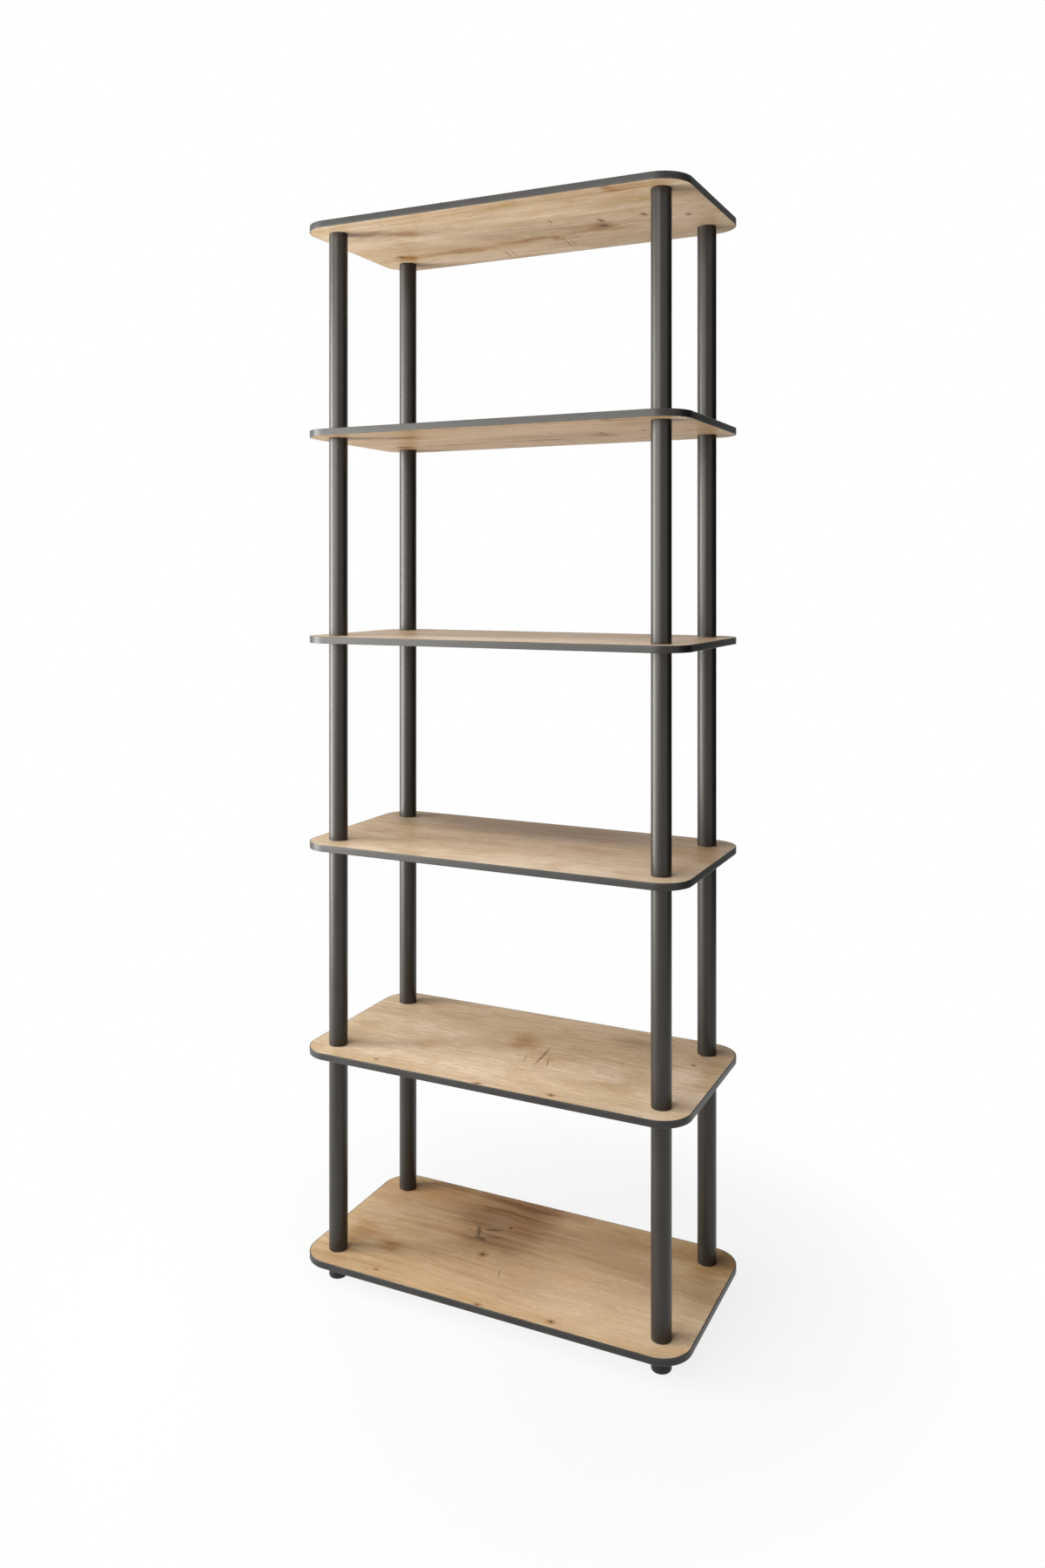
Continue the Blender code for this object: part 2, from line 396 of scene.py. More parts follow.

# Marks of the print in millimetres from the board's middle, to the right and to the back, with half sizes:
# knots (right, back, half length, half width), tinted patches by tone (right, back, half length, half width,
# depth), and cracks (right, back, half length, half width, degrees from the grain, depth). Some patches are
# painted shade, painted shadow or painted light.
FRONT_KNOTS = ((109, -132, 4.2, 2.8), (-174, -127, 3.0, 2.0), (0, -140, 4.2, 2.4))
TOP_KNOTS = {
    1: ((-46, 61, 3.6, 5.4), (-52, -24, 4.4, 5.4), *FRONT_KNOTS),
    2: ((253, 50, 2.6, 2.2), *FRONT_KNOTS),
    6: FRONT_KNOTS,
}
TOP_STAINS_AND_LIGHT = {
    # Board 1: the patches along the back, at (180, 110), (-200, 112), (-60, 138) and (-180, 125), are painted
    # shade from the board above.
    1: {
        "amber": (
            (-110, -40, 200, 120, 0.24), (180, 110, 150, 40, 0.50), (272, 92, 50, 56, 0.90),
            (-200, 112, 110, 48, 0.85), (-250, -45, 26, 50, 0.90), (-190, -62, 26, 17, 1.0),
            (0, -130, 300, 26, 0.30), (-225, -125, 110, 40, 0.30),
        ),
        "rust": ((-190, -62, 18, 12, 0.42),),
        "brown": (
            (-70, 66, 140, 120, 0.45), (-54, 108, 66, 56, 0.72), (-104, 92, 50, 62, 0.42),
            (-20, 72, 44, 76, 0.40), (-76, 42, 48, 36, 0.42), (-70, 8, 66, 36, 0.38),
            (-60, 138, 140, 30, 0.50), (-20, -70, 130, 30, 0.13), (285, 110, 30, 36, 0.25),
            (-180, 125, 90, 26, 0.30), (-190, -20, 130, 120, 0.10),
        ),
        # The pale patches at the front right and at the right end are painted light.
        "pale": ((180, -75, 220, 90, 0.90), (275, -70, 60, 60, 0.90), (130, -14, 140, 45, 0.25)),
        "grey": ((-190, -80, 150, 80, 0.16),),
        "smoke_and_shade": ((-70, 64, 32, 28, 0.60), (-64, 24, 28, 20, 0.25)),
    },
    2: {
        "amber": (
            (-4, 22, 34, 38, 0.85), (44, -18, 46, 50, 0.55), (-208, 112, 76, 20, 0.60),
            (290, 40, 30, 90, 0.55), (110, 70, 170, 36, 0.35),
        ),
        "rust": ((-6, 24, 22, 28, 0.40),),
        # The pale patch at the right end, at (270, -45), is painted light.
        "pale": (
            (20, -95, 280, 44, 0.60), (-190, 0, 120, 80, 0.55), (0, -40, 240, 30, 0.45),
            (270, -45, 70, 110, 0.95),
        ),
        "smoke_and_shade": ((150, 97, 46, 24, 0.50),),
    },
    # Board 3: the grey and grey-brown band along the back is painted shade, and the pale band along the front
    # is a painted reflection.
    3: {
        "amber": ((250, 60, 60, 70, 0.60),),
        "brown": ((-228, -20, 36, 20, 0.26),),
        "pale": ((0, -112, 330, 60, 0.75),),
        "grey": ((-20, 106, 320, 80, 0.95),),
        "smoke_and_shade": ((-25, 106, 320, 84, 0.85),),
    },
    # Board 4: the pale bands and the faint grey-brown one are a painted reflection on the top.
    4: {
        "pale": ((0, -90, 300, 60, 0.90), (0, 60, 300, 80, 0.50)),
        "smoke_and_shade": ((60, 60, 260, 60, 0.15),),
    },
}
TOP_CRACKS = {
    1: (
        (-68, 44, 20, 5.0, 22, 0.90), (-87, 32, 24, 4.6, 115, 0.85), (-75, 14, 16, 5.2, -10, 0.85),
        (-57, 26, 16, 3.8, 22, 0.60), (-7, -58, 18, 1.4, 110, 0.5),
    ),
    2: ((42, -13, 48, 2.2, 94, 0.90), (22, -30, 20, 1.7, 100, 0.45), (58, -30, 22, 1.7, 106, 0.55)),
}
UNDER_KNOTS = (
    (122, 29, 10.0, 8.0), (128, 4, 3.4, 7.0), (195, 0, 3.4, 5.2), (253, 27, 3.0, 4.0), (-242, 57, 4.2, 4.0),
)
UNDER_STAINS_AND_SHADOW = {
    "amber": (
        (-150, 66, 100, 15, 0.90), (10, 55, 80, 16, 0.90), (120, 44, 70, 17, 0.75),
        (-240, 66, 28, 26, 0.90), (112, 28, 34, 22, 0.70), (-158, -52, 28, 24, 0.90),
        (205, -80, 50, 22, 0.75), (215, -122, 64, 24, 0.90), (-112, -128, 16, 22, 0.75),
        (45, -128, 18, 20, 0.75), (60, 20, 130, 18, 0.50), (0, -128, 300, 30, 0.45),
        (-110, -50, 80, 40, 0.30),
    ),
    "rust": (
        (192, -134, 14, 18, 0.75), (-138, 66, 70, 9, 0.45), (8, 54, 60, 9, 0.50), (34, 62, 12, 10, 0.70),
        # The patch at (-178, -60) is part of a painted shadow of the front left post.
        (118, 30, 22, 16, 0.25), (-178, -60, 36, 16, 0.60), (-238, 62, 18, 14, 0.55),
        (110, 46, 60, 9, 0.45), (-60, 60, 50, 8, 0.20), (215, -124, 46, 14, 0.30),
    ),
    # This brown patch is a painted shadow of the front left post, together with the rust patch at (-178,
    # -60).
    "brown": ((-222, -82, 36, 15, 0.42),),
    "pale": ((-120, -20, 120, 36, 0.45), (60, -60, 120, 36, 0.45), (-60, 95, 90, 24, 0.35)),
    "smoke_and_shade": ((40, 10, 150, 34, 0.15),),
}
UNDER_CRACKS = (
    (59, -25, 16, 2.2, 92, 0.75), (-76, 112, 28, 1.9, 97, 0.65), (-66, 112, 26, 1.7, 97, 0.60),
    (37, 95, 42, 2.0, 94, 0.60), (45, 98, 36, 1.6, 96, 0.50), (-172, -120, 18, 1.5, 92, 0.40),
)

# Sockets of the mix node for two numbers
FIRST_NUMBER = 2
SECOND_NUMBER = 3


def shelf_outline(low, high, inset):
    """The shelf's rounded rectangle this far inside its edge, as (x, y, outward x, outward y)."""
    points = []
    radius = CORNER_RADIUS - inset
    for side_x, side_y, start in SHELF_CORNERS:
        centre_x = (low.x if side_x < 0 else high.x) - side_x * CORNER_RADIUS
        centre_y = (low.y if side_y < 0 else high.y) - side_y * CORNER_RADIUS
        for step in range(CORNER_STEPS + 1):
            angle = math.radians(start + QUARTER_TURN * step / CORNER_STEPS)
            out_x = math.cos(angle)
            out_y = math.sin(angle)
            points.append((centre_x + radius * out_x, centre_y + radius * out_y, out_x, out_y))
    return points


def hole_outline(centre, radius):
    """A hole's round edge, as (x, y)."""
    points = []
    for side in range(HOLE_SIDES):
        angle = math.tau * side / HOLE_SIDES
        points.append((centre[0] + radius * math.cos(angle), centre[1] + radius * math.sin(angle)))
    return points


def closed_wall(shape, outlines, heights):
    """Join a stack of like closed outlines by faces, and give the edges of the first and the last one."""
    stack = []
    for outline, height in zip(outlines, heights):
        stack.append([shape.verts.new((point[0], point[1], height)) for point in outline])
    for upper, lower in zip(stack, stack[1:]):
        for index in range(len(upper)):
            after = (index + 1) % len(upper)
            shape.faces.new((upper[index], lower[index], lower[after], upper[after]))
    rims = []
    for loop in (stack[0], stack[-1]):
        rims.append([shape.edges.get((loop[index - 1], loop[index])) for index in range(len(loop))])
    return rims


def board_shape(low, high):
    """A drilled board with eased arrises, inside the band that is wrapped round it."""
    shape = bmesh.new()
    heights = (high.z, high.z - BOARD_EASE, low.z + BOARD_EASE, low.z)
    easings = (BOARD_EASE, 0.0, 0.0, BOARD_EASE)
    margin = Vector((BAND_AND_GLUE, BAND_AND_GLUE, 0.0))
    edge = [shelf_outline(low - margin, high + margin, BAND_AND_GLUE + easing) for easing in easings]
    walls = [closed_wall(shape, edge, heights)]
    for centre in post_places.values():
        hole = [hole_outline(centre, HOLE_RADIUS + easing) for easing in easings]
        walls.append(closed_wall(shape, hole, heights))
    for rims in zip(*walls):
        face_edges = [line for rim in rims for line in rim]
        bmesh.ops.triangle_fill(shape, use_beauty=True, edges=face_edges)
    return shape


def mark_place(tree, place, right, back, half_length, half_width, degrees=0.0):
    """The place as seen from a mark, in units of its half sizes."""
    inputs = {
        "Vector": place,
        "Location": (right * MILLIMETRE, back * MILLIMETRE, 0.0),
        "Rotation": (0.0, 0.0, math.radians(degrees)),
        "Scale": (half_length * MILLIMETRE, half_width * MILLIMETRE, 1.0),
    }
    return add(tree, "ShaderNodeMapping", inputs, vector_type="TEXTURE")


def distance_out(tree, place):
    """How far a place is from the middle."""
    return add(tree, "ShaderNodeVectorMath", {0: place}, output="Value", operation="LENGTH")


def strongest(tree, masks):
    """The largest of several masks, or none."""
    result = 0.0
    for mask in masks:
        result = calc(tree, "MAXIMUM", mask, result)
    return result


def layered(tree, masks):
    """Several masks one over the other, or none."""
    result = 0.0
    for mask in masks:
        result = calc(tree, "MULTIPLY_ADD", result, calc(tree, "SUBTRACT", 1.0, mask), mask)
    return result


def print_and_light_marks(tree, edge_place, stain_and_light_place, knots, stains_and_light, cracks):
    """The masks of one face by name: knot hearts and halos, tinted patches of stain and of painted light and
    shade, cracks, and the pull on the grain.
    """
    hearts = []
    halos = []
    pull = 0.0
    for right, back, half_length, half_width in knots:
        local = mark_place(tree, edge_place, right, back, half_length, half_width)
        distance = distance_out(tree, local)
        hearts.append(ranged(tree, distance, *HEART_FADE, 1.0, 0.0))
        halo = ranged(tree, distance, *HALO_FADE, 1.0, 0.0)
        halos.append(halo)
        across = add(tree, "ShaderNodeSeparateXYZ", {0: local}, output="Y")
        reach = half_width * MILLIMETRE * GRAIN_PULL
        bend = calc(tree, "MULTIPLY", calc(tree, "MULTIPLY", across, halo), reach)
        pull = calc(tree, "ADD", bend, pull)
    masks = {"heart": strongest(tree, hearts), "halo": strongest(tree, halos), "pull": pull}
    for tone in (*STAIN_AND_LIGHT_TINTS, "smoke_and_shade"):
        fields = []
        for right, back, half_length, half_width, depth in stains_and_light.get(tone, ()):
            local = mark_place(tree, stain_and_light_place, right, back, half_length, half_width)
            fields.append(ranged(tree, distance_out(tree, local), *STAIN_AND_LIGHT_FADE, depth, 0.0))
        masks[tone] = layered(tree, fields)
    fields = []
    for right, back, half_length, half_width, degrees, depth in cracks:
        local = mark_place(tree, edge_place, right, back, half_length, half_width, degrees)
        fields.append(ranged(tree, distance_out(tree, local), *CRACK_FADE, depth, 0.0))
    masks["crack"] = strongest(tree, fields)
    return masks


def chosen(tree, share, first, second):
    """Mix two numbers by a share."""
    inputs = {MIX_SHARE: share, FIRST_NUMBER: first, SECOND_NUMBER: second}
    return add(tree, "ShaderNodeMix", inputs, data_type="FLOAT")


def shaken_place(tree, place, flat, scale, reach):
    """The place on the face, pushed about by noise."""
    noise = stretched_noise(tree, place, scale, SHAKE_DETAIL, SHAKE_ROUGHNESS, output="Color")
    centred = place_calc(tree, "SUBTRACT", noise, SHAKE_MIDDLE)
    pushed = place_calc(tree, "MULTIPLY", centred, (reach, reach, 0.0))
    return place_calc(tree, "ADD", flat, pushed)


def oak_noises(tree, place, table):
    """The noises of one table by name, stretched along the grain."""
    noises = {}
    for name, (along, across, detail, roughness) in table.items():
        noises[name] = stretched_noise(tree, place, (along, across, SEED_STRETCH), detail, roughness)
    return noises


def oak_decor(number, middle_height):
    """The printed oak of one board, with its own marks above and the common ones below, some of them painted
    light and shade.
    """
    finish, tree, shader = new_finish(f"oak_decor_{number}", OAK_SPECULAR)
    place = frame_place(tree)
    height = add(tree, "ShaderNodeSeparateXYZ", {0: place}, output="Z")
    upper = calc(tree, "GREATER_THAN", height, middle_height)
    flat = place_calc(tree, "MULTIPLY", place, FACE_ONLY)

    # Marks with ragged edges, those of the upper face and those of the lower one
    edge_place = shaken_place(tree, place, flat, EDGE_SHAKE, RAGGED_EDGE)
    stain_and_light_place = shaken_place(tree, place, flat, STAIN_AND_LIGHT_SHAKE, RAGGED_STAIN_AND_LIGHT)
    knots = TOP_KNOTS.get(number, ())
    stains_and_light = TOP_STAINS_AND_LIGHT.get(number, {})
    cracks = TOP_CRACKS.get(number, ())
    top = print_and_light_marks(tree, edge_place, stain_and_light_place, knots, stains_and_light, cracks)
    under = print_and_light_marks(tree, edge_place, stain_and_light_place, UNDER_KNOTS, UNDER_STAINS_AND_SHADOW, UNDER_CRACKS)
    marks = {key: chosen(tree, upper, under[key], top[key]) for key in top}

    # Wavy grain that bends round the knots
    noises = oak_noises(tree, place, STRAIGHT_NOISES)
    wave = calc(tree, "MULTIPLY", noises["quick_wave"], QUICK_WAVE_REACH)
    wave = calc(tree, "MULTIPLY_ADD", noises["slow_wave"], SLOW_WAVE_REACH, wave)
    shift = calc(tree, "SUBTRACT", wave, marks["pull"])
    sideways = add(tree, "ShaderNodeCombineXYZ", {"Y": shift})
    grain = place_calc(tree, "ADD", place, sideways)
    noises.update(oak_noises(tree, grain, GRAIN_NOISES))

    # Colour from streaks, rings and clouds, the layers and the pores over it, and then the marks
    tone = calc(tree, "MULTIPLY", noises["rings"], RING_SHARE)
    tone = calc(tree, "MULTIPLY_ADD", noises["broad"], BROAD_SHARE, tone)
    tone = calc(tree, "MULTIPLY_ADD", noises["clouds"], CLOUD_SHARE, tone)
    tone = calc(tree, "ADD", tone, BROWN_SHIFT.get(number, 0.0))
    colour = mixed(tree, ranged(tree, tone, *HONEY_RANGE), opaque(OAK_PALE), opaque(OAK_HONEY))
    colour = mixed(tree, ranged(tree, tone, *BROWN_RANGE), colour, opaque(OAK_BROWN))
    for noise_name, noise_range, layer_colour in OAK_LAYERS:
        share = ranged(tree, noises[noise_name], *noise_range)
        colour = mixed(tree, share, colour, opaque(layer_colour))
    dashes = ranged(tree, noises["pores"], *PORE_DASHES)
    open_pores = calc(tree, "MULTIPLY", dashes, ranged(tree, noises["rings"], *PORES_IN_RINGS))
    colour = mixed(tree, open_pores, colour, opaque(OAK_PORE))
    soaked = ranged(tree, noises["rings"], *SOAKED_RINGS)
    # The tints include painted shade and painted light on boards 1 to 4 and a painted shadow on the lower
    # faces.
    for tint_name, tint in STAIN_AND_LIGHT_TINTS.items():
        strength = calc(tree, "MULTIPLY", marks[tint_name], soaked)
        colour = mixed(tree, strength, colour, opaque(tint), "MULTIPLY")
    # The grey-brown cover is painted shade along the back of board 3 and a painted reflection on board 4;
    # elsewhere it is a stain.
    colour = mixed(tree, marks["smoke_and_shade"], colour, opaque(SMOKE_AND_SHADE_GREY))
    halo = calc(tree, "MULTIPLY", marks["halo"], HALO_SHARE)
    colour = mixed(tree, halo, colour, opaque(KNOT_HALO))
    heart = calc(tree, "MULTIPLY", marks["heart"], HEART_SHARE)
    colour = mixed(tree, heart, colour, opaque(KNOT_HEART))
    colour = mixed(tree, marks["crack"], colour, opaque(CRACK_DARK))
    tree.links.new(colour, shader.inputs["Base Color"])

    # Varnish: duller along the pores, with a faint relief of the grain
    dull = calc(tree, "MULTIPLY_ADD", noises["lines"], OAK_LINE_DULLING, VARNISH_ROUGHNESS)
    dull = calc(tree, "MULTIPLY_ADD", open_pores, OAK_PORE_DULLING, dull)
    tree.links.new(dull, shader.inputs["Roughness"])
    relief = calc(tree, "MULTIPLY", noises["lines"], OAK_LINE_HEIGHT)
    relief = calc(tree, "MULTIPLY_ADD", noises["fibres"], OAK_FIBRE_HEIGHT, relief)
    relief = calc(tree, "SUBTRACT", relief, open_pores)
    crack_drop = calc(tree, "MULTIPLY", marks["crack"], OAK_CRACK_DROP)
    relief = calc(tree, "SUBTRACT", relief, crack_drop)
    embossed(tree, shader, relief, *OAK_RELIEF)
    return finish


shelf_count = sum(1 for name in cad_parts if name.startswith("shelf_board_"))
for number in range(1, shelf_count + 1):
    node = f"shelf_board_{number}"
    low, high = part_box(node)
    decor = oak_decor(number, (low.z + high.z) / 2)
    board = finished_piece(f"oak_board_{number}", board_shape(low, high), decor)
    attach(board, "root")
    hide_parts(node)


# Edge bands: one strip of dark grey plastic round each board, glued on hot and scraped to a small radius
# along both arrises. Its two ends meet in a butt seam in the middle of the back edge.
BAND_EASE = 0.0007
BAND_DEPTH = 0.0010
BAND_SEAM = 0.0004
BAND_DARK = (0.010, 0.0096, 0.0092)
BAND_RUBBED = (0.034, 0.0330, 0.0320)
BAND_SHEEN = (1.0, 0.965, 0.905)
BAND_SPECULAR = 0.5
BAND_LINES = ((3.0, 3.0, 1500.0), 2.0)
BAND_STIPPLE = ((1800.0, 1800.0, 1800.0), 2.0)
BAND_PATCHES = ((14.0, 14.0, 40.0), 3.0)
BAND_RUBBING = (0.35, 0.7, 0.15, 0.9)
BAND_DUST = (0.4, 0.9, 0.0, 0.35)
BAND_ROUGHNESS = 0.32
BAND_UNEVEN = 0.18
BAND_POLISH = -0.08
BAND_LINE_HEIGHT = 0.5
BAND_RELIEF = (0.25, 0.00005)


def band_shape(low, high):
    """Sweep the strip's section round the shelf's outline, from seam to seam."""
    shape = bmesh.new()
    wear_layer = shape.verts.layers.float.new(WEAR_NAME)
    section = eased([
        (0.0, high.z, BAND_EASE),
        (0.0, low.z, BAND_EASE),
        (BAND_DEPTH, low.z, SHARP),
        (BAND_DEPTH, high.z, SHARP),
    ])
    middle = (low.x + high.x) / 2
    path = [(middle - BAND_SEAM / 2, high.y, 0.0, 1.0)]
    path += shelf_outline(low, high, 0.0)
    path.append((middle + BAND_SEAM / 2, high.y, 0.0, 1.0))
    rings = []
    for x, y, out_x, out_y in path:
        ring = []
        for inset, height, wear in section:
            point = shape.verts.new((x - out_x * inset, y - out_y * inset, height))
            point[wear_layer] = wear
            ring.append(point)
        rings.append(ring)
    for ring, following in zip(rings, rings[1:]):
        for index in range(len(ring)):
            after = (index + 1) % len(ring)
            shape.faces.new((ring[index], ring[after], following[after], following[index]))
    shape.faces.new(rings[0])
    shape.faces.new(reversed(rings[-1]))
    return shape


def edge_plastic():
    """Satin edging: fine lines along the strip, a light stipple and rubbed arrises."""
    finish, tree, shader = new_finish("dark_grey_edging", BAND_SPECULAR)
    shader.inputs["Specular Tint"].default_value = opaque(BAND_SHEEN)
    place = frame_place(tree)
    lines = stretched_noise(tree, place, *BAND_LINES)
    stipple = stretched_noise(tree, place, *BAND_STIPPLE)
    patches = stretched_noise(tree, place, *BAND_PATCHES)
    rubbed = calc(tree, "MULTIPLY", edge_wear(tree), ranged(tree, patches, *BAND_RUBBING))
    tone = calc(tree, "MAXIMUM", ranged(tree, patches, *BAND_DUST), rubbed)
    tree.links.new(mixed(tree, tone, opaque(BAND_DARK), opaque(BAND_RUBBED)), shader.inputs["Base Color"])
    dull = calc(tree, "MULTIPLY_ADD", patches, BAND_UNEVEN, BAND_ROUGHNESS)
    dull = calc(tree, "MULTIPLY_ADD", rubbed, BAND_POLISH, dull)
    tree.links.new(dull, shader.inputs["Roughness"])
    relief = calc(tree, "MULTIPLY_ADD", lines, BAND_LINE_HEIGHT, stipple)
    embossed(tree, shader, relief, *BAND_RELIEF)
    return finish


dark_edging = edge_plastic()
for number in range(1, shelf_count + 1):
    node = f"edge_band_{number}"
    band = finished_piece(f"wrapped_band_{number}", band_shape(*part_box(node)), dark_edging)
    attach(band, "root")
    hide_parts(node)


# Tubes: lengths of round steel tube, cut square, deburred and coated in a satin dark grey paint.
# They stand between the boards, pushed over the connectors, and the boards' weight holds them.
TUBE_WALL = 0.002
TUBE_EASE = 0.0005
TUBE_DARK = (0.012, 0.0106, 0.0092)
TUBE_GREY = (0.021, 0.0186, 0.0162)
TUBE_BARE = (0.160, 0.158, 0.155)
TUBE_SHEEN = (1.0, 0.96, 0.89)
TUBE_SPECULAR = 0.5
TUBE_PEEL = ((900.0, 900.0, 700.0), 1.0)
TUBE_LINES = ((700.0, 700.0, 9.0), 3.0)
TUBE_PATCHES = ((30.0, 30.0, 12.0), 3.0)
TUBE_SPECKS = ((2400.0, 2400.0, 2400.0), 1.0)
TUBE_RUBBING = (0.45, 0.7, 0.0, 0.55)
TUBE_LINE_SHARE = 0.4
TUBE_PATCH_SHARE = 0.6
TUBE_TONES = (0.35, 0.65, 0.0, 1.0)
TUBE_SPECK_RANGE = (0.7, 0.78, 0.0, 0.3)
TUBE_ROUGHNESS = 0.30
TUBE_UNEVEN = 0.10
TUBE_LINE_DULLING = 0.03
TUBE_LINE_HEIGHT = 0.08
TUBE_RELIEF = (0.12, 0.00006)


def tube_paint():
    """Satin paint: a slight orange peel, faint lines along the tube and thin paint at its rims."""
    finish, tree, shader = new_finish("dark_grey_tube_paint", TUBE_SPECULAR)
    shader.inputs["Specular Tint"].default_value = opaque(TUBE_SHEEN)
    place = frame_place(tree)
    peel = stretched_noise(tree, place, *TUBE_PEEL)
    lines = stretched_noise(tree, place, *TUBE_LINES)
    patches = stretched_noise(tree, place, *TUBE_PATCHES)
    specks = stretched_noise(tree, place, *TUBE_SPECKS)
    rubbed = calc(tree, "MULTIPLY", edge_wear(tree), ranged(tree, patches, *TUBE_RUBBING))
    tone = calc(tree, "MULTIPLY", patches, TUBE_PATCH_SHARE)
    tone = calc(tree, "MULTIPLY_ADD", lines, TUBE_LINE_SHARE, tone)
    colour = mixed(tree, ranged(tree, tone, *TUBE_TONES), opaque(TUBE_DARK), opaque(TUBE_GREY))
    colour = mixed(tree, ranged(tree, specks, *TUBE_SPECK_RANGE), colour, opaque(TUBE_BARE))
    tree.links.new(mixed(tree, rubbed, colour, opaque(TUBE_BARE)), shader.inputs["Base Color"])
    dull = calc(tree, "MULTIPLY_ADD", patches, TUBE_UNEVEN, TUBE_ROUGHNESS)
    dull = calc(tree, "MULTIPLY_ADD", lines, TUBE_LINE_DULLING, dull)
    tree.links.new(dull, shader.inputs["Roughness"])
    relief = calc(tree, "MULTIPLY_ADD", lines, TUBE_LINE_HEIGHT, peel)
    embossed(tree, shader, relief, *TUBE_RELIEF)
    return finish


dark_paint = tube_paint()
for level in range(1, shelf_count):
    for post in POSTS:
        node = f"tube_{level}_{post}"
        low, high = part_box(node)
        tube_radius = (high.x - low.x) / 2
        bore_radius = tube_radius - TUBE_WALL
        tube_profile = eased([
            (bore_radius, high.z, TUBE_EASE),
            (tube_radius, high.z, TUBE_EASE),
            (tube_radius, low.z, TUBE_EASE),
            (bore_radius, low.z, TUBE_EASE),
        ])
        tube_profile.append(tube_profile[0])
        tube = turned_piece("painted_" + node, tube_profile, post_places[post], dark_paint)
        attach(tube, "root")
        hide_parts(node)


# Connectors: pale plastic mouldings hidden in the joints. A collar fills the board's hole and stands on the
# tube below, and a tapered spigot on each side of it grips a tube by friction.
CONNECTOR_PALE = (0.62, 0.61, 0.57)
CONNECTOR_SHADE = (0.50, 0.49, 0.45)
CONNECTOR_ROUGHNESS = 0.45

pale_plastic = moulded_plastic("pale_moulded_plastic", CONNECTOR_SHADE, CONNECTOR_PALE, CONNECTOR_ROUGHNESS)
for name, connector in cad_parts.items():
    if name.startswith("connector_"):
        connector.data.materials.clear()
        connector.data.materials.append(pale_plastic)


# Top plugs: black plastic mouldings with a low crowned head on the highest board. They close its holes,
# and a collar and a hollow spigot on each reach down through the board into the highest tube.
PLUG_CROWN = 0.0006
PLUG_EDGE_EASE = 0.0018

highest_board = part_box(f"shelf_board_{shelf_count}")
for post in POSTS:
    node = "top_plug_" + post
    low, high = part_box(node)
    head_radius = (high.x - low.x) / 2
    head_base = highest_board[1].z + seat_gap
    plug_profile = eased([
        (ON_AXIS, high.z, SHARP),
        (head_radius, high.z - PLUG_CROWN, PLUG_EDGE_EASE),
        (head_radius, head_base, SHARP),
        (COLLAR_RADIUS, head_base, SHARP),
        (COLLAR_RADIUS, highest_board[0].z, SHARP),
        (SPIGOT_RADIUS, highest_board[0].z, SHARP),
        (SPIGOT_END_RADIUS, low.z, SHARP),
        (SPIGOT_HOLLOW, low.z, SHARP),
        (SPIGOT_HOLLOW, highest_board[0].z, SHARP),
        (ON_AXIS, highest_board[0].z, SHARP),
    ])
    plug = turned_piece("plastic_" + node, plug_profile, post_places[post], black_plastic)
    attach(plug, "root")
    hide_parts(node)


# Floor: a wide round sheet of plain pale studio floor, laid a hair under the feet.
# It runs out to white away from the bookcase and keeps the soft shadow under the lowest board.
FLOOR_RADIUS = 6.0
FLOOR_DROP = 0.0004
FLOOR_PALE = (0.78, 0.78, 0.78)
FLOOR_WHITENING = (0.3, 0.75, 0.85, 1.0)
FLOOR_GLOW = 1.0


def seen_rays(tree):
    """One for the rays that show the stage itself: to the camera, and in gloss and glass."""
    path = tree.nodes.new("ShaderNodeLightPath").outputs
    gloss = calc(tree, "MAXIMUM", path["Is Glossy Ray"], path["Is Transmission Ray"])
    return calc(tree, "MAXIMUM", path["Is Camera Ray"], gloss)


def floor_finish():
    """Pale diffuse paint, lifted to white away from the object for the rays that show it."""
    material = bpy.data.materials.new("pale_floor")
    material.use_nodes = True
    tree = material.node_tree
    tree.nodes.remove(tree.nodes["Principled BSDF"])
    whiteness = ranged(tree, distance_out(tree, frame_place(tree)), *FLOOR_WHITENING)
    lift = calc(tree, "MULTIPLY", seen_rays(tree), whiteness)
    paint = add(tree, "ShaderNodeBsdfDiffuse", {"Color": opaque(FLOOR_PALE)})
    glow = add(tree, "ShaderNodeEmission", {"Strength": FLOOR_GLOW})
    both = add(tree, "ShaderNodeMixShader", {0: lift, 1: paint, 2: glow})
    tree.links.new(both, tree.nodes["Material Output"].inputs["Surface"])
    return material


floor_shape = bmesh.new()
bmesh.ops.create_circle(floor_shape, cap_ends=True, radius=FLOOR_RADIUS, segments=TURNED_SIDES)
bmesh.ops.translate(floor_shape, verts=floor_shape.verts, vec=(0.0, 0.0, cad_low.z - FLOOR_DROP))
floor = finished_piece("studio_floor", floor_shape, floor_finish())


# Light: soft windows to the left and before the front and a panel overhead, in a dim even room. A strip near
# the left end shows in gloss alone, and draws the light line on the posts. A dark cloth screen beyond the
# right end, which the camera doesn't see, keeps the far sides of the posts dark.
UPRIGHT = math.radians(90)
WHITE = (1.0, 1.0, 1.0)
ROOM_LEVEL = 0.1
BACKDROP_LEVEL = 1.0
SCREEN_RADIUS = 1.9
SCREEN_HEIGHT = 2.3
SCREEN_START = math.radians(-5)
SCREEN_END = math.radians(70)
SCREEN_STEPS = 32
SCREEN_BLACK = (0.02, 0.02, 0.02)
SCREEN_SPECULAR = 0.0
SCREEN_ROUGHNESS = 1.0

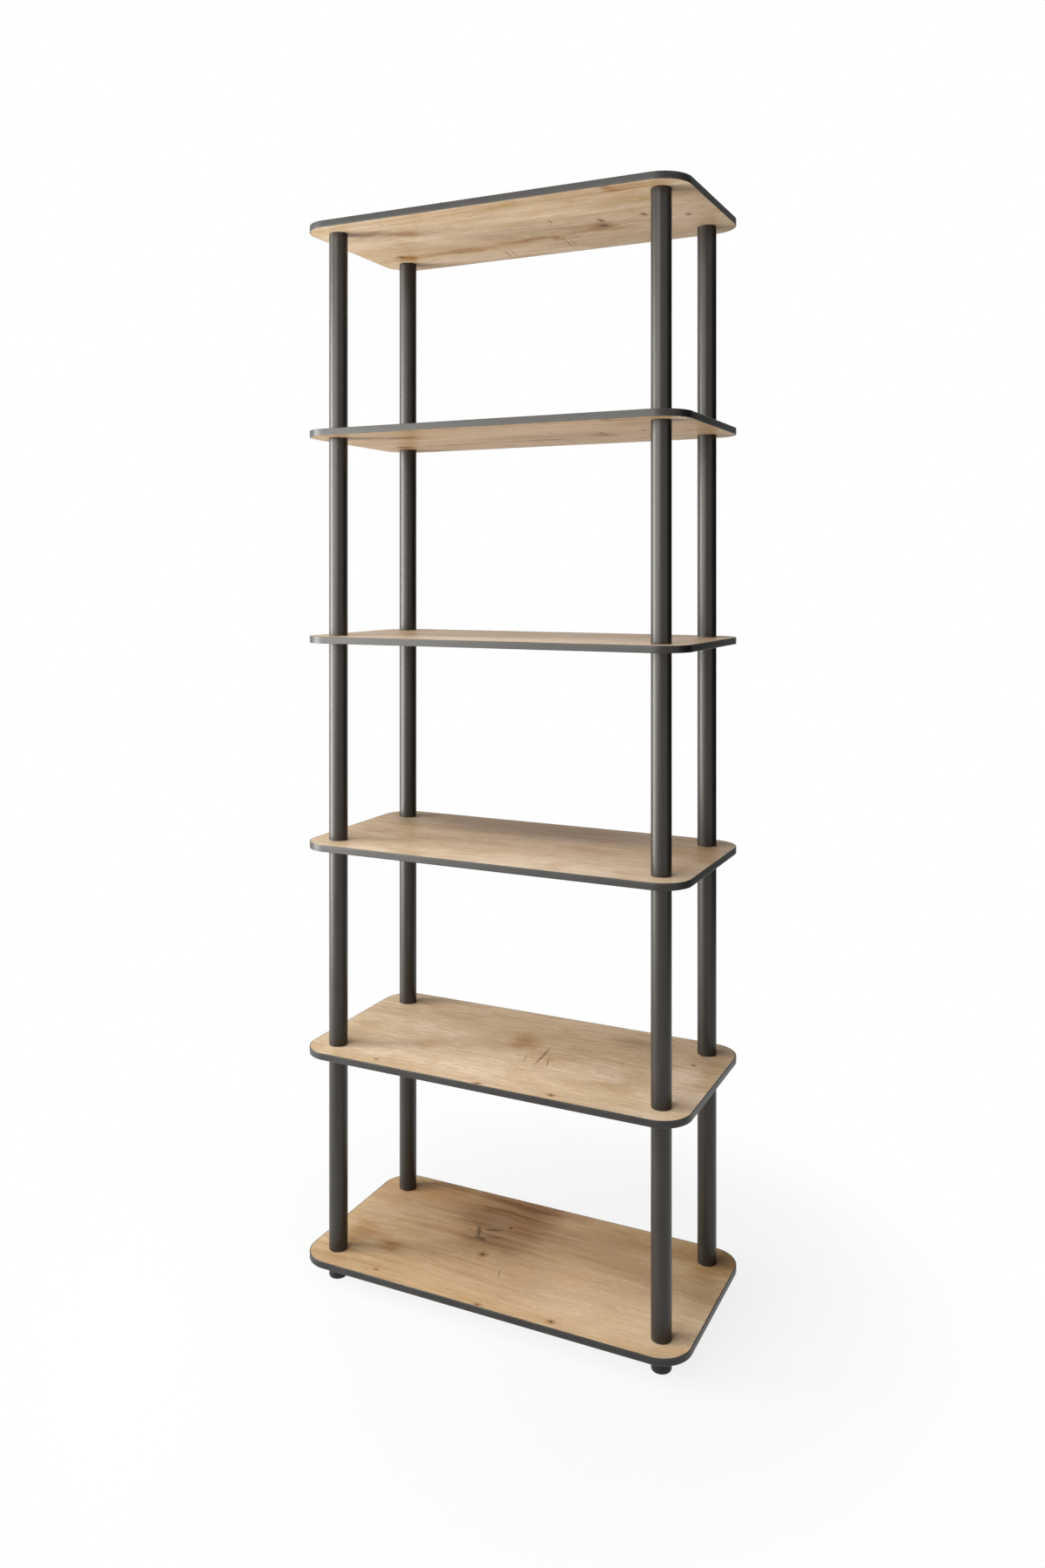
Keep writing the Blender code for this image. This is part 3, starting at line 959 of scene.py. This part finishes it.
# Windows: degrees to the left of the front, distance, height of the middle, width, height, degrees of tilt
# towards the floor, and level of light
GLOSS_ALONE = "gloss_strip"
WINDOWS = {
    "left_window": (65, 2.1, 0.95, 0.65, 1.7, 0, 15.0),
    "gloss_strip": (57, 1.1, 1.0, 0.50, 1.6, 0, 3.0),
    "side_window": (38, 2.1, 0.95, 1.1, 1.7, 0, 5.0),
    "front_window": (6, 2.1, 1.5, 1.0, 1.4, 0, 5.0),
    "ceiling_panel": (20, 0.7, 3.0, 2.0, 2.0, 90, 1.9),
}


def soft_window(name, turn, distance, middle, width, height, tilt, level):
    """A soft lamp that the camera doesn't see, as bright as its level at any size."""
    lamp = bpy.data.lights.new(name, "AREA")
    lamp.shape = "RECTANGLE"
    lamp.size = width
    lamp.size_y = height
    lamp.energy = level * math.pi * width * height
    window = bpy.data.objects.new(name, lamp)
    bpy.context.scene.collection.objects.link(window)
    side = math.radians(turn)
    window.location = (-distance * math.sin(side), -distance * math.cos(side), middle)
    window.rotation_euler = (UPRIGHT - math.radians(tilt), 0.0, -side)
    window.visible_camera = False
    window.visible_diffuse = name != GLOSS_ALONE


for window_name, measures in WINDOWS.items():
    soft_window(window_name, *measures)

screen_shape = bmesh.new()
screen_columns = []
for step in range(SCREEN_STEPS + 1):
    angle = SCREEN_START + (SCREEN_END - SCREEN_START) * step / SCREEN_STEPS
    x = SCREEN_RADIUS * math.cos(angle)
    y = SCREEN_RADIUS * math.sin(angle)
    screen_columns.append([screen_shape.verts.new((x, y, height)) for height in (0.0, SCREEN_HEIGHT)])
for column, following in zip(screen_columns, screen_columns[1:]):
    screen_shape.faces.new((column[0], following[0], following[1], column[1]))
black_cloth, _, cloth_shader = new_finish("black_cloth", SCREEN_SPECULAR)
cloth_shader.inputs["Base Color"].default_value = opaque(SCREEN_BLACK)
cloth_shader.inputs["Roughness"].default_value = SCREEN_ROUGHNESS
screen = finished_piece("dark_screen", screen_shape, black_cloth)
screen.visible_camera = False

world = bpy.data.worlds.new("white_studio")
bpy.context.scene.world = world
world.use_nodes = True
world_tree = world.node_tree
room = world_tree.nodes["Background"]
room.inputs["Color"].default_value = opaque(WHITE)
room.inputs["Strength"].default_value = ROOM_LEVEL
backdrop = add(world_tree, "ShaderNodeBackground", {"Color": opaque(WHITE), "Strength": BACKDROP_LEVEL})
shown = add(world_tree, "ShaderNodeMixShader", {0: seen_rays(world_tree), 1: room.outputs[0], 2: backdrop})
world_tree.links.new(shown, world_tree.nodes["World Output"].inputs["Surface"])


# Camera: at eye level to the right of the front, looking level, with the frame dropped so that uprights
# stay upright. Its values are in pixels of the whole picture, metres and radians.
IMAGE_HEIGHT = 1800
FOCAL_PIXELS = 1418.6
HORIZON_PIXEL = 658.8
CAMERA_PLACE = (0.8022, -1.6671, 1.0594)
CAMERA_TURN = 0.4471

camera_data = bpy.data.cameras.new("camera")
camera_data.lens = FOCAL_PIXELS * camera_data.sensor_width / IMAGE_HEIGHT
camera_data.shift_y = (HORIZON_PIXEL - IMAGE_HEIGHT / 2) / IMAGE_HEIGHT
camera = bpy.data.objects.new("camera", camera_data)
bpy.context.scene.collection.objects.link(camera)
camera.location = CAMERA_PLACE
camera.rotation_euler = (UPRIGHT, 0.0, CAMERA_TURN)
bpy.context.scene.camera = camera
bpy.context.scene.view_settings.view_transform = "Standard"
